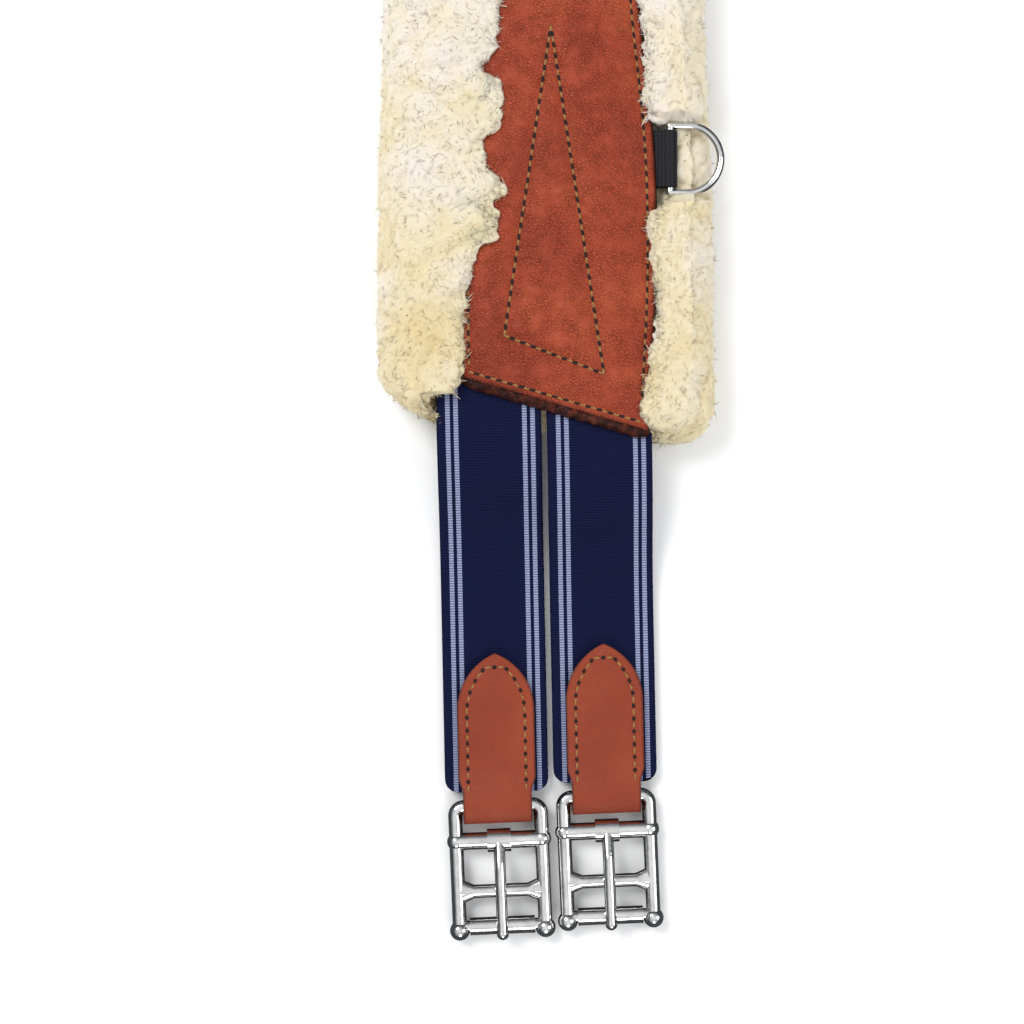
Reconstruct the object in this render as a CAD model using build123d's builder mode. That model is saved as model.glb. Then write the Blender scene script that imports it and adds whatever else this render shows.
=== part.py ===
from build123d import *

from math import asin, cos, degrees, radians, sin, tan
import os

# Saddle girth with a sheepskin lining, elastic ends and roller buckles. Millimetres.
#
# X runs across the girth, with the ring edge at +X. Y runs along it. Z is up, with the wool side
# down on the floor. The end at -Y is built once and mirrored to the end at +Y.

os.makedirs("parts", exist_ok=True)

# ---- whole girth ----
body_end_y = -365.0  # lowest corner of the sheepskin at the near end
fold_y = -110.0  # the body bends here, between its centre and its near segment
fold_half_angle = 22.5  # each side of the V that lets the body bend by twice this

# ---- layers of the body, bottom to top ----
hide_top = 15.0  # sheepskin: wool and hide
web_top = 17.0  # strength web
pad_top = 19.4  # foam pad, and the sewn-in elastic beside it
leather_top = 22.4
wool_roll_top = 25.0  # wool that stands up on both sides of the leather
thread_height = 0.4
thread_width = 0.9

# ---- outlines of the near half, from the middle to the end ----
fleece_left = [
    (-55.0, 0),
    (-59.0, body_end_y + 235.0),
    (-63.8, body_end_y + 103.0),
    (-63.8, body_end_y + 9.0),
]
fleece_right = [
    (60.4, body_end_y),
    (60.4, body_end_y + 75.0),
    (57.2, body_end_y + 157.0),
    (53.5, 0),
]
leather_left = [
    (-27.0, 0),
    (-29.5, body_end_y + 165.0),
    (-34.2, body_end_y + 75.0),
    (-33.6, body_end_y + 23.6),
]
leather_right = [
    (36.2, body_end_y + 4.0),
    (39.3, body_end_y + 85.0),
    (32.7, body_end_y + 160.0),
    (29.5, 0),
]
fleece_corner = 17.0
leather_corner = 7.0
leather_seam_inset = 3.7

# ---- triangle of stitching near the end of the leather ----
triangle_points = [
    (0.0, body_end_y + 154.0),
    (-17.2, body_end_y + 41.0),
    (19.4, body_end_y + 27.0),
]

# ---- elastic straps ----
elastic_width = 38.0
elastic_thickness = pad_top - web_top
elastic_corner = 5.0
elastic_end_gap = 6.3  # the top bar's axis to the middle of the elastic's rounded end
strap_turn = 1.2  # the straps lean this many degrees towards +X
anchor_start_y = body_end_y + 67.0  # sewn-in stretch of the elastic starts here
strap_drop_run = 62.0  # length of the S that brings the elastic down to the floor
hinge_gap = 0.35
strap_starts = {"rear": (-22.6, body_end_y + 11.5), "front": (18.0, body_end_y)}
strap_lengths = {"rear": 145.9, "front": 130.8}  # root of the strap to the buckle's top bar

# ---- chape: the leather tab that holds the buckle ----
chape_leather = 2.4
chape_fold_leather = 2.2  # the leather is pared down where it folds
chape_width = 28.5
chape_neck_width = 25.9  # where it passes between the sides of the buckle
chape_length = 57.0  # pointed tip to the top bar
chape_arch = 21.0  # length of the pointed arch
chape_neck = 7.0  # length of the narrow stretch, back from the top bar
slot_clearance = 0.3
chape_seam_inset = 3.5
chape_seam_end = 14.0  # the seam stops this far from the top bar
chape_slot_end = 4.6

# ---- buckle, from the top bar outwards ----
buckle_turn = 2.4
side_spacing = 16.0  # buckle centre to the axis of a side bar
rod_radius = 2.6  # the top bar and both sides are one bent rod
corner_bend = 3.2
tongue_bar_at = 12.8
tongue_bar_radius = 3.2
knuckle_radius = 3.4
mid_bar_at = 31.6
mid_bar_radius = 2.5
mid_flare_half_width = 4.6
mid_flare_length = 5.0
roller_at = 44.6
roller_core_radius = 2.2
roller_radius = 3.25
roller_half_length = 12.1
end_ball_radius = 3.7
end_ball_offset = 1.4
running_clearance = 0.08
tongue_sleeve_radius = 4.3
tongue_sleeve_width = 8.8
tongue_radius = 2.1
tongue_overhang = 2.4
tongue_gap = 0.2

# ---- ring on the front edge ----
ring_y = body_end_y + 104.8
ring_wire_radius = 1.4
ring_bar_x = 43.8
ring_z = 19.2
ring_arc_radius = 12.35
ring_outer_x = 63.8
loop_width = 21.0
loop_thickness = 1.3
loop_start_x = 22.0
ring_recess_floor = 17.4

slot_low = chape_leather
slot_high = slot_low + elastic_thickness + 2 * slot_clearance
strap_flat_z = (slot_low + slot_high) / 2
strap_root_z = (web_top + pad_top) / 2
chape_top = slot_high + chape_leather
bar_z = rod_radius + running_clearance + chape_fold_leather


def keep(name, part):
    """Labels a finished piece and writes its STEP file."""
    part.label = name
    export_step(part, f"parts/{name}.step")


def keep_both(name, part):
    """Writes a piece of the near end, and its mirror image for the far end."""
    keep(f"near_{name}", part)
    keep(f"far_{name}", mirror(part, about=Plane.XZ))


# ---- the three zones of the body, parted by a V under each fold line ----
fold_shift = leather_top * tan(radians(fold_half_angle))
zone_reach = 400.0
zone_height = 60.0

with BuildPart() as centre_zone:
    with BuildSketch(Plane.YZ):
        with BuildLine():
            Polyline(
                (fold_y + fold_shift, 0),
                (-fold_y - fold_shift, 0),
                (-fold_y, leather_top),
                (-fold_y, zone_height),
                (fold_y, zone_height),
                (fold_y, leather_top),
                close=True,
            )
        make_face()
    extrude(amount=zone_reach, both=True)

with BuildPart() as near_zone:
    with BuildSketch(Plane.YZ):
        with BuildLine():
            Polyline(
                (fold_y - fold_shift, 0),
                (fold_y, leather_top),
                (fold_y, zone_height),
                (fold_y - zone_reach, zone_height),
                (fold_y - zone_reach, 0),
                close=True,
            )
        make_face()
    extrude(amount=zone_reach, both=True)


def keep_body_layer(name, whole):
    """Parts a full-length layer into its centre, near and far segments."""
    with BuildPart() as centre:
        add(whole)
        add(centre_zone.part, mode=Mode.INTERSECT)
    keep(f"centre_{name}", centre.part)
    with BuildPart() as near:
        add(whole)
        add(near_zone.part, mode=Mode.INTERSECT)
    keep_both(name, near.part)


def whole_outline(left, right, corner, inset=0.0):
    """A full-length outline: the near half and its mirror image, with rounded end corners."""
    with BuildSketch() as outline:
        with BuildLine():
            Polyline(*left, *right, close=True)
        make_face()
        fillet(outline.vertices().filter_by(lambda v: v.Y < body_end_y + 30), corner)
        mirror(about=Plane.XZ)
        if inset:
            offset(amount=-inset, mode=Mode.REPLACE)
    return outline.sketch


def strap_plane(side, along=0.0, height=0.0, turn=strap_turn):
    """A plane on a strap's centre line, with its X across the strap and -Y outwards."""
    x, y = strap_starts[side]
    lean = radians(strap_turn)
    origin = (x + along * sin(lean), y - along * cos(lean), height)
    return Plane(origin, x_dir=(cos(radians(turn)), sin(radians(turn)), 0), z_dir=(0, 0, 1))


def across_plane(plane):
    """The plane's side view: its X is the strap's outward direction, its Y is up."""
    return Plane(plane.origin, x_dir=-plane.y_dir, z_dir=-plane.x_dir)


# ---- sewn-in ends of the elastic ----
anchors = {}
for side, (start_x, start_y) in strap_starts.items():
    anchor_length = start_y - anchor_start_y
    with BuildPart() as elastic_anchor:
        with BuildSketch(strap_plane(side, height=web_top)):
            with Locations((0, -anchor_length / 2)):
                Rectangle(elastic_width, -anchor_length)
        extrude(amount=elastic_thickness)
        with BuildSketch(across_plane(strap_plane(side, height=strap_root_z))):
            Circle(elastic_thickness / 2 + hinge_gap)
        extrude(amount=elastic_width, both=True, mode=Mode.SUBTRACT)
    anchors[side] = elastic_anchor.part
    keep_both(f"{side}_elastic_anchor", elastic_anchor.part)

# ---- body layers ----
leather_sketch = whole_outline(leather_left, leather_right, leather_corner)
fleece_sketch = whole_outline(fleece_left, fleece_right, fleece_corner)
inner_sketch = whole_outline(leather_left, leather_right, leather_corner, inset=1.0)
seam_outer = whole_outline(leather_left, leather_right, leather_corner, leather_seam_inset)
seam_inner = whole_outline(
    leather_left, leather_right, leather_corner, leather_seam_inset + thread_width
)

with BuildPart() as leather_panel:
    add(leather_sketch)
    extrude(amount=leather_top - pad_top)
    fillet(leather_panel.faces().sort_by(Axis.Z)[-1].edges(), 0.8)
leather_whole = Pos(0, 0, pad_top) * leather_panel.part
keep_body_layer("leather_panel", leather_whole)

with BuildPart() as edge_seam:
    with BuildSketch():
        add(seam_outer)
        add(seam_inner, mode=Mode.SUBTRACT)
    extrude(amount=thread_height)
keep_body_layer("edge_stitching", Pos(0, 0, leather_top) * edge_seam.part)

web_end_y = body_end_y + 27.0
with BuildPart() as strength_web:
    add(inner_sketch)
    extrude(amount=web_top - hide_top)
    with BuildSketch():
        Rectangle(zone_reach, -2 * web_end_y)
    extrude(amount=web_top, mode=Mode.INTERSECT)
keep_body_layer("strength_web", Pos(0, 0, hide_top) * strength_web.part)

loop_shoulder = 4.3  # behind the ring's bar, where the two layers of the loop meet
loop_crown = 2.2  # behind the bar, where the loop's top starts to fall
loop_crown_drop = 0.7
with BuildPart() as ring_loop:
    loop_radius = ring_wire_radius + running_clearance + loop_thickness
    with BuildSketch(Plane.XZ.offset(-ring_y - loop_width / 2)):
        with Locations((ring_bar_x, ring_z)):
            Circle(loop_radius)
        Polygon(
            (loop_start_x, web_top),
            (ring_bar_x - loop_shoulder, web_top),
            (ring_bar_x, ring_z - loop_radius),
            (ring_bar_x, ring_z + loop_radius),
            (ring_bar_x - loop_crown, ring_z + loop_radius - loop_crown_drop),
            (ring_bar_x - loop_shoulder, pad_top),
            (loop_start_x, pad_top),
            align=None,
        )
        with Locations((ring_bar_x, ring_z)):
            Circle(ring_wire_radius + running_clearance, mode=Mode.SUBTRACT)
    extrude(amount=loop_width)
keep_both("ring_loop", ring_loop.part)

loop_bed_width = loop_width + 1.0
pad_notch_length = 40.0  # the pad leaves room for the sewn-in tail of the loop
with BuildPart() as foam_pad:
    add(inner_sketch)
    extrude(amount=pad_top - web_top)
    with BuildSketch():
        Rectangle(zone_reach, -2 * (anchor_start_y + 2))
    extrude(amount=pad_top, mode=Mode.INTERSECT)
    for mirrored in (1, -1):
        with BuildSketch():
            with Locations((loop_start_x + pad_notch_length / 2 - 0.5, mirrored * ring_y)):
                Rectangle(pad_notch_length, loop_bed_width)
        extrude(amount=pad_top, mode=Mode.SUBTRACT)
keep_body_layer("foam_pad", Pos(0, 0, web_top) * foam_pad.part)

wool_slot_margin = 1.5
wool_gaps = (  # low x, high x and start of the gaps that the elastics leave through
    (-42.6, 0.5, body_end_y + 21.0),
    (-2.0, 39.0, body_end_y + 16.0),
)
wool_gap_length = 60.0
wool_top_round = 9.0
wool_bottom_round = 4.0
ring_recess = (15.0, 45.0)  # middle beyond the ring's bar, and length
ring_recess_width = 2 * ring_arc_radius + 8.0
loop_bed = (-2.0, 16.0)  # middle beside the ring's bar, and length
with BuildPart() as sheepskin:
    add(fleece_sketch)
    extrude(amount=wool_roll_top)
    fillet(sheepskin.faces().sort_by(Axis.Z)[-1].edges(), wool_top_round)
    fillet(sheepskin.faces().sort_by(Axis.Z)[0].edges(), wool_bottom_round)
    with BuildSketch(Plane.XY.offset(hide_top)):
        add(leather_sketch)
    extrude(amount=zone_height, mode=Mode.SUBTRACT)
    for mirrored in (1, -1):
        for x_low, x_high, y_start in wool_gaps:
            with BuildSketch(Plane.XY.offset(hide_top)):
                gap_y = mirrored * (y_start - wool_gap_length / 2)
                with Locations(((x_low + x_high) / 2, gap_y)):
                    Rectangle(x_high - x_low, wool_gap_length)
            extrude(amount=zone_height, mode=Mode.SUBTRACT)
        for side, (start_x, start_y) in strap_starts.items():
            anchor_middle = (start_y + anchor_start_y) / 2
            with BuildSketch(Plane.XY.offset(web_top)):
                with Locations((start_x, mirrored * anchor_middle)):
                    Rectangle(
                        elastic_width + 2 * wool_slot_margin,
                        anchor_start_y - start_y + 2 * wool_slot_margin,
                    )
            extrude(amount=elastic_thickness, mode=Mode.SUBTRACT)
        with BuildSketch(Plane.XY.offset(ring_recess_floor)):
            with Locations((ring_bar_x + ring_recess[0], mirrored * ring_y)):
                Rectangle(ring_recess[1], ring_recess_width)
        extrude(amount=zone_height, mode=Mode.SUBTRACT)
        with BuildSketch(Plane.XY.offset(hide_top)):
            with Locations((ring_bar_x + loop_bed[0], mirrored * ring_y)):
                Rectangle(loop_bed[1], loop_bed_width)
        extrude(amount=zone_height, mode=Mode.SUBTRACT)
keep_body_layer("sheepskin_lining", sheepskin.part)

with BuildPart() as triangle_stitching:
    with BuildSketch(Plane.XY.offset(leather_top)):
        with BuildLine():
            Polyline(*triangle_points, close=True)
        make_face()
        offset(amount=-thread_width, kind=Kind.INTERSECTION, mode=Mode.SUBTRACT)
    extrude(amount=thread_height)
keep_both("triangle_stitching", triangle_stitching.part)

# ---- ring ----
with BuildPart() as dee_ring:
    arc_x = ring_outer_x - ring_wire_radius - ring_arc_radius
    with BuildLine(Plane.XY.offset(ring_z)) as ring_path:
        Line((ring_bar_x, ring_y), (ring_bar_x, ring_y + ring_arc_radius))
        Line((ring_bar_x, ring_y + ring_arc_radius), (arc_x, ring_y + ring_arc_radius))
        CenterArc((arc_x, ring_y), ring_arc_radius, 90, -180)
        Line((arc_x, ring_y - ring_arc_radius), (ring_bar_x, ring_y - ring_arc_radius))
        Line((ring_bar_x, ring_y - ring_arc_radius), (ring_bar_x, ring_y))
    with BuildSketch(Plane((ring_bar_x, ring_y, ring_z), z_dir=(0, 1, 0))):
        Circle(ring_wire_radius)
    sweep(path=ring_path.wire(), transition=Transition.ROUND)
keep_both("dee_ring", dee_ring.part)


# ---- straps ----
def strap_elastic(side):
    """The free elastic: an S down to the floor, then flat to the buckle."""
    end = strap_lengths[side] - elastic_end_gap
    drop = strap_root_z - strap_flat_z
    bend = (strap_drop_run**2 + drop**2) / (4 * drop)
    sweep_angle = degrees(asin(strap_drop_run / 2 / bend))
    with BuildPart() as elastic:
        with BuildSketch(across_plane(strap_plane(side))):
            with BuildLine():
                CenterArc((0, strap_root_z - bend), bend, 90 - sweep_angle, sweep_angle)
                CenterArc(
                    (strap_drop_run, strap_flat_z + bend), bend, 270 - sweep_angle, sweep_angle
                )
                Line((strap_drop_run, strap_flat_z), (end, strap_flat_z))
                offset(amount=elastic_thickness / 2, side=Side.BOTH, mode=Mode.REPLACE)
            make_face()
        extrude(amount=elastic_width / 2, both=True)
        with BuildSketch(strap_plane(side)):
            with Locations((0, -end)):
                for hand in (-1, 1):
                    with Locations((hand * elastic_width / 2, elastic_thickness / -2)):
                        Rectangle(2 * elastic_corner, 2 * elastic_corner)
                        with Locations((-hand * elastic_corner, elastic_corner)):
                            Circle(elastic_corner, mode=Mode.SUBTRACT)
        extrude(amount=zone_height, mode=Mode.SUBTRACT)
    return elastic.part


def chape_outline(inset=0.0, back=None):
    """Plan of the chape: a pointed arch, straight sides, and a neck between the buckle's sides."""
    half = chape_width / 2
    neck = chape_neck_width / 2
    arch_radius = (half**2 + chape_arch**2) / (2 * half)
    arch_y = chape_length - chape_arch
    with BuildSketch() as outline:
        with BuildLine():
            RadiusArc((-half, arch_y), (0, chape_length), arch_radius)
            RadiusArc((0, chape_length), (half, arch_y), arch_radius)
            Polyline(
                (half, arch_y),
                (half, chape_neck + 3),
                (neck, chape_neck - 1),
                (neck, -bar_z - 1),
                (-neck, -bar_z - 1),
                (-neck, chape_neck - 1),
                (-half, chape_neck + 3),
                (-half, arch_y),
            )
        make_face()
        if inset:
            offset(amount=-inset, mode=Mode.REPLACE)
        if back:
            with Locations((0, back - chape_length / 2)):
                Rectangle(chape_length, chape_length, mode=Mode.SUBTRACT)
    return outline.sketch


# ---- chape and buckle, built about the middle of the top bar ----
side_view = across_plane(Plane.XY)

fold_shoulder = 3.5  # behind the bar, where the fold starts to fall to the flat leaf
flat_start = 14.0
with BuildPart() as chape:
    with BuildSketch(side_view):
        Circle(bar_z)
        Polygon(
            (-chape_length - 1, -bar_z),
            (0, -bar_z),
            (0, bar_z),
            (-fold_shoulder, bar_z - 0.1),
            (-flat_start, chape_top - bar_z),
            (-chape_length - 1, chape_top - bar_z),
            align=None,
        )
        Circle(rod_radius + running_clearance, mode=Mode.SUBTRACT)
        Polygon(
            (-chape_length - 1, slot_low - bar_z),
            (-chape_slot_end, slot_low - bar_z),
            (-chape_slot_end, slot_high - bar_z),
            (-chape_length - 1, slot_high - bar_z),
            align=None,
            mode=Mode.SUBTRACT,
        )
    extrude(amount=chape_width, both=True)
    with BuildSketch(Plane.XY.offset(-bar_z - 1)):
        add(chape_outline())
    extrude(amount=zone_height, mode=Mode.INTERSECT)

with BuildPart() as chape_stitching:
    with BuildSketch(Plane.XY.offset(chape_top - bar_z)):
        add(chape_outline(chape_seam_inset, chape_seam_end))
        add(chape_outline(chape_seam_inset + thread_width), mode=Mode.SUBTRACT)
    extrude(amount=thread_height)


def bar_across(along, radius, half_length):
    """A round bar across the buckle."""
    with BuildPart() as bar:
        with BuildSketch(Plane((-half_length, -along, 0), z_dir=(1, 0, 0))):
            Circle(radius)
        extrude(amount=2 * half_length)
    return bar.part


with BuildPart() as buckle_frame:
    with BuildLine() as rod:
        FilletPolyline(
            (-side_spacing, -roller_at),
            (-side_spacing, 0),
            (side_spacing, 0),
            (side_spacing, -roller_at),
            radius=corner_bend,
        )
    with BuildSketch(Plane((-side_spacing, -roller_at, 0), z_dir=(0, 1, 0))):
        Circle(rod_radius)
    sweep(path=rod.wire())
    add(bar_across(tongue_bar_at, tongue_bar_radius, side_spacing))
    add(bar_across(mid_bar_at, mid_bar_radius, side_spacing))
    add(bar_across(roller_at, roller_core_radius, side_spacing))
    for hand in (-1, 1):
        for at, radius in (
            (tongue_bar_at, knuckle_radius),
            (roller_at + end_ball_offset, end_ball_radius),
        ):
            with Locations(Plane((hand * side_spacing, -at, 0), (hand, 0, 0), (0, -1, 0))):
                Sphere(radius)
        flare_plane = Plane((hand * (side_spacing - 1), -mid_bar_at, 0), (0, 1, 0), (-hand, 0, 0))
        with BuildSketch(flare_plane):
            Ellipse(mid_flare_half_width, rod_radius - 0.2)
        with BuildSketch(flare_plane.offset(mid_flare_length)):
            Circle(mid_bar_radius)
        loft(ruled=True)

# a sleeve round the tongue bar, and a shank that passes over the mid bar and rests on the roller
tongue_rest_z = roller_radius + tongue_gap + tongue_radius
with BuildPart() as tongue:
    add(bar_across(tongue_bar_at, tongue_sleeve_radius, tongue_sleeve_width / 2))
    with BuildLine(side_view) as shank:
        FilletPolyline(
            (tongue_bar_at, 2.0),
            (tongue_bar_at + 11.0, tongue_rest_z - 0.1),
            (roller_at + tongue_overhang, tongue_rest_z),
            radius=20.0,
        )
    shank_wire = shank.wire()
    with BuildSketch(Plane(shank_wire.position_at(0), z_dir=shank_wire.tangent_at(0))):
        Circle(tongue_radius)
    sweep(path=shank_wire)
    with Locations(shank_wire.position_at(1)):
        Sphere(tongue_radius + 0.1)
    bore = tongue_bar_radius + running_clearance
    add(bar_across(tongue_bar_at, bore, tongue_sleeve_width), mode=Mode.SUBTRACT)

with BuildPart() as roller:
    with BuildSketch(Plane((-roller_half_length, -roller_at, 0), z_dir=(1, 0, 0))):
        Circle(roller_radius)
        Circle(roller_core_radius + running_clearance, mode=Mode.SUBTRACT)
    extrude(amount=2 * roller_half_length)

for side in strap_starts:
    keep_both(f"{side}_elastic", strap_elastic(side))
    place = strap_plane(side, strap_lengths[side], bar_z, buckle_turn).location
    keep_both(f"{side}_chape", place * chape.part)
    keep_both(f"{side}_chape_stitching", place * chape_stitching.part)
    keep_both(f"{side}_buckle_frame", place * buckle_frame.part)
    keep_both(f"{side}_tongue", place * tongue.part)
    keep_both(f"{side}_roller", place * roller.part)
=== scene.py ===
# %% [markdown]
# # A saddle girth with a sheepskin lining
# A girth is the band that holds a saddle on a horse. This one is a padded leather band on a
# sheepskin, with two elastic straps and roller buckles at each end, and a ring on its front edge.
# The metal parts come ready made from the CAD frame. Everything soft is modelled here.
# X runs across the girth, Y along it, Z up. Sizes are written in millimetres.

# %% Load the frame
from math import cos, pi, radians, sin

import bpy
import numpy as np
from mathutils import Matrix, Vector, noise


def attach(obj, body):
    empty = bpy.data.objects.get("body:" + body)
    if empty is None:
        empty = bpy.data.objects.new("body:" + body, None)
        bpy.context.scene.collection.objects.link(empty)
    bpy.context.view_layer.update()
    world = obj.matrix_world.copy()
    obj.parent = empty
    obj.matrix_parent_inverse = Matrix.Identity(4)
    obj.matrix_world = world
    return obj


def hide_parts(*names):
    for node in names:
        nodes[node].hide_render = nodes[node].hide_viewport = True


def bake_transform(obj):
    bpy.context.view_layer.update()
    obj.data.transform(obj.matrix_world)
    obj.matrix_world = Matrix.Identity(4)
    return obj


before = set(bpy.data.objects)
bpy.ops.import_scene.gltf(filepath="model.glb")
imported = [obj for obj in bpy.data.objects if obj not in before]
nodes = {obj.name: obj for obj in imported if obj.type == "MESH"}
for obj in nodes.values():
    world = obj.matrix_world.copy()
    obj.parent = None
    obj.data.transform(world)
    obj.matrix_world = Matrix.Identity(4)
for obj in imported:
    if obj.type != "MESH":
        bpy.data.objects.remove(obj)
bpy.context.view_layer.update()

scene = bpy.context.scene
print("CAD nodes:", len(nodes))

# %% [markdown]
# ## Camera
# The girth is seen from straight above, from its near end, so the camera looks down with +Y up.

# %% Camera
MM = 0.001
VIEW_MIDDLE = (-14.2, -389.8)
VIEW_HEIGHT = 907.0
bpy.ops.object.camera_add(location=(VIEW_MIDDLE[0] * MM, VIEW_MIDDLE[1] * MM, VIEW_HEIGHT * MM))
camera = bpy.context.object
camera.data.lens = 85
camera.data.clip_start = 0.01
scene.camera = camera
scene.view_settings.view_transform = "Standard"
print("camera at", tuple(round(c, 3) for c in camera.location))

# %% [markdown]
# ## Small helpers
# Every soft piece starts as a flat grid, as its real counterpart starts as a flat cut. A function
# then says where each point of the cut goes: `u` runs across it and `v` along it, both 0 to 1.

# %% Grid pieces
def deselect():
    """Leaves nothing selected, so that an operator acts only on the new piece."""
    if bpy.context.object and bpy.context.object.mode != "OBJECT":
        bpy.ops.object.mode_set(mode="OBJECT")
    bpy.ops.object.select_all(action="DESELECT")


def select_only(piece):
    """Selects one piece and makes it active."""
    deselect()
    piece.select_set(True)
    bpy.context.view_layer.objects.active = piece


def read(rows, name, width=1, kind=float):
    """An attribute of a mesh's vertices, loops or triangles as an array."""
    values = np.zeros(len(rows) * width, dtype=kind)
    rows.foreach_get(name, values)
    return values.reshape(-1, width) if width > 1 else values


def points_of(piece):
    """A piece's points in millimetres, a row each."""
    return read(piece.data.vertices, "co", 3) / MM


def put_points(piece, points):
    """Moves a piece's points to the rows of an array in millimetres."""
    piece.data.vertices.foreach_set("co", np.ascontiguousarray(points * MM, dtype=float).ravel())
    piece.data.update()


def paint(mesh, name, values):
    """Gives each point of a mesh a value that its material reads."""
    attribute = mesh.attributes.new(name, "FLOAT", "POINT")
    attribute.data.foreach_set("value", np.ravel(values).astype(np.float32))


def edit(*steps):
    """Runs edit-mode operators on the whole active piece."""
    bpy.ops.object.mode_set(mode="EDIT")
    bpy.ops.mesh.select_all(action="SELECT")
    for step in steps:
        step()
    bpy.ops.object.mode_set(mode="OBJECT")


def lay_uv(piece, name, values):
    """Writes a UV map from a row of values for each point."""
    layer = piece.data.uv_layers.get(name) or piece.data.uv_layers.new(name=name)
    corners = read(piece.data.loops, "vertex_index", kind=int)
    layer.data.foreach_set("uv", values[corners].ravel())


def grid_piece(name, columns, rows, place):
    """Adds a grid and sends each of its points to place(u, v), in millimetres."""
    deselect()
    bpy.ops.mesh.primitive_grid_add(x_subdivisions=columns, y_subdivisions=rows, size=1)
    piece = bpy.context.object
    piece.name = name
    piece.data.name = name
    u, v, _ = read(piece.data.vertices, "co", 3).T + 0.5
    lay_uv(piece, piece.data.uv_layers.active.name, np.stack([u, v], axis=1))
    put_points(piece, place(u, v))
    piece.data.flip_normals()  # v runs towards -Y, so the cut would face down
    return piece


def merge_seam():
    """Joins the first and last column of the active piece, where they meet as a tube."""
    edit(lambda: bpy.ops.mesh.remove_doubles(threshold=0.01 * MM))


def cap_ends(piece):
    """Fills both open ends of a tube that runs along Y."""
    edit(
        lambda: bpy.ops.mesh.select_mode(type="VERT"),
        lambda: bpy.ops.mesh.select_all(action="DESELECT"),
        lambda: bpy.ops.mesh.select_non_manifold(
            extend=False, use_wire=False, use_multi_face=False, use_non_contiguous=False,
            use_verts=False,
        ),
    )
    rim = read(piece.data.vertices, "select", kind=bool)
    place = -points_of(piece)[:, 1]
    middle = (place[rim].min() + place[rim].max()) / 2
    for first in (True, False):
        edit(lambda: bpy.ops.mesh.select_all(action="DESELECT"))
        piece.data.vertices.foreach_set("select", rim & ((place < middle) == first))
        bpy.ops.object.mode_set(mode="EDIT")
        bpy.ops.mesh.edge_face_add()
        bpy.ops.object.mode_set(mode="OBJECT")
    face_outward()


def face_outward():
    """Turns the active piece's faces outward."""
    edit(lambda: bpy.ops.mesh.normals_make_consistent(inside=False))


def modify(piece, kind, **settings):
    """Adds a modifier, sets it and applies it."""
    modifier = piece.modifiers.new(kind.title(), kind)
    for key, value in settings.items():
        setattr(modifier, key, value)
    select_only(piece)
    bpy.ops.object.modifier_apply(modifier=modifier.name)


def finish_piece(piece, end, *materials, crisp=0):
    """Mirrors a far-end piece, gives it its materials and shades it, crisp past an angle."""
    if end == "far":
        piece.data.transform(Matrix.Scale(-1, 4, (0, 1, 0)))
        piece.data.flip_normals()
    for material in materials:
        piece.data.materials.append(material)
    select_only(piece)
    if crisp:
        bpy.ops.object.shade_smooth_by_angle(angle=radians(crisp))
    else:
        bpy.ops.object.shade_smooth()
    print(f"{piece.name}: {len(piece.data.polygons)} faces")
    return piece


def fill_noise(points, size, seed=0.0, octaves=3):
    """Smooth noise from -1 to 1 for each row of points, with bumps of that size."""
    offset = Vector((seed * 13.7, seed * 7.1, seed * 3.3))
    return np.array([noise.fractal(Vector(p) / size + offset, 0.6, 2.0, octaves) for p in points])


# %% [markdown]
# ## Outlines
# These are the girth's own lines, the same as in its CAD source: the edges of the sheepskin and
# of the leather, from the middle of the girth (0) to its near end. The wool's inner edge is
# ragged where it laps over the leather, so it has its own list of points.

# %% Outlines
FLEECE_LEFT = ((0, -55.0), (130, -59.0), (262, -63.3), (330, -63.6), (366, -63.6))
FLEECE_RIGHT = (
    (0, 53.5), (157, 56.4), (208, 57.2), (240, 58.4), (275, 60.0), (330, 60.6), (366, 59.6),
)
LEATHER_LEFT = ((0, -27.0), (200, -29.5), (290, -34.2), (366, -33.4))
LEATHER_RIGHT = (
    (0, 29.5), (180, 31.0), (205, 32.7), (250, 38.2), (280, 39.3), (312, 39.2), (366, 36.0),
)
WOOL_LEFT = (
    (0, -20), (40, -18.5), (75, -21), (120, -18), (160, -20), (200, -18.4), (221, -18.8),
    (226, -23.4), (229, -23.4), (232, -17.6), (250, -18.0), (254, -23.6), (265, -23.8),
    (268, -18.5),
    (273, -15.7), (277, -20.0), (281, -18.6), (290, -18.8), (293, -25), (298, -27.8), (311, -29),
    (324, -30.2), (337, -30.9), (346, -33), (348.5, -34), (350, -42.5), (366, -42.8),
)
WOOL_RIGHT = (
    (0, 28), (60, 27), (120, 29), (170, 30), (208, 32), (226, 34), (240, 32.8), (246, 34.5),
    (249, 40.5), (276.6, 40.5), (279, 37), (285, 35), (295, 36), (310, 37.6), (324, 37.0),
    (335, 35), (350, 31.6), (356, 33.2), (358.5, 36.8), (361, 36), (366, 37.5),
)
BODY_END = 360.5  # at x = 0; the end runs a little askew
END_SKEW = 0.0885
LEATHER_END = (350.0, 0.292)  # distance of the leather's end at x = 0, and its slope
LEATHER_TOP = 22.1
HIDE_TOP = 15.2
SOFTEN = 20  # millimetres over which an outline's corners are rounded


def line_x(points, y, soften=0.0):
    """X of an outline at distance y from the middle, softened over some millimetres."""
    table = np.array(points, dtype=float)
    shifts = np.array((-1.0, -0.5, 0.0, 0.5, 1.0)) * soften
    return np.mean([np.interp(y + shift, table[:, 0], table[:, 1]) for shift in shifts], axis=0)


def leather_end(x):
    """Distance from the middle to the leather's slanted end."""
    return LEATHER_END[0] + LEATHER_END[1] * x


print("leather ends at", leather_end(-33.4), "to", leather_end(36.0))

# %% [markdown]
# ## Materials
# Colours are written as sRGB hex values. Cycles works in linear light, so one function turns them.
# Another small function adds a node with its settings and links.

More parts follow.
